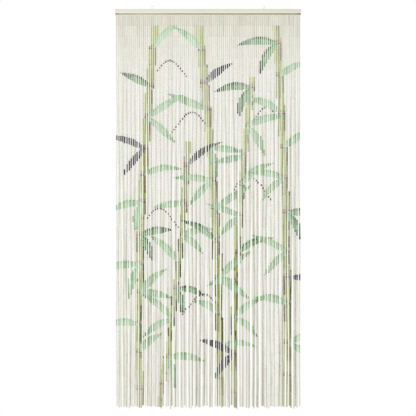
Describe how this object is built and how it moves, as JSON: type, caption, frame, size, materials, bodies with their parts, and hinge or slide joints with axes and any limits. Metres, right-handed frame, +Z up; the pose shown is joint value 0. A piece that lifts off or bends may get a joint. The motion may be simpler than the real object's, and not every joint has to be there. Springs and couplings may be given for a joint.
{
  "type": "fly curtain",
  "caption": "Fly curtain for a doorway: upright strands of short bamboo tubes on wire links, printed with leaning reeds and leaves, hanging from a wooden header with screw eyes.",
  "frame": {"origin": "the middle of the header slat's top edge, where the curtain meets the lintel", "axes": "+Z up, the drop of the strands; +X along the header to the viewer's right; +Y through the curtain from front to back"},
  "size_m": [0.9, 0.0186, 1.9506],
  "materials": {
    "pale_wood": "whitewashed, planed, satin",
    "brown_wood": "planed and stained brown, dull",
    "zinc_steel": "bright zinc-plated wire",
    "bamboo": "bleached bamboo skin, satin, printed in greens and browns"
  },
  "bodies": {
    "root": {"header_slat": "pale_wood", "under_rail": "brown_wood", "screw_eye_left": "zinc_steel", "screw_eye_right": "zinc_steel", "strands": "bamboo"}
  },
  "joints": []
}
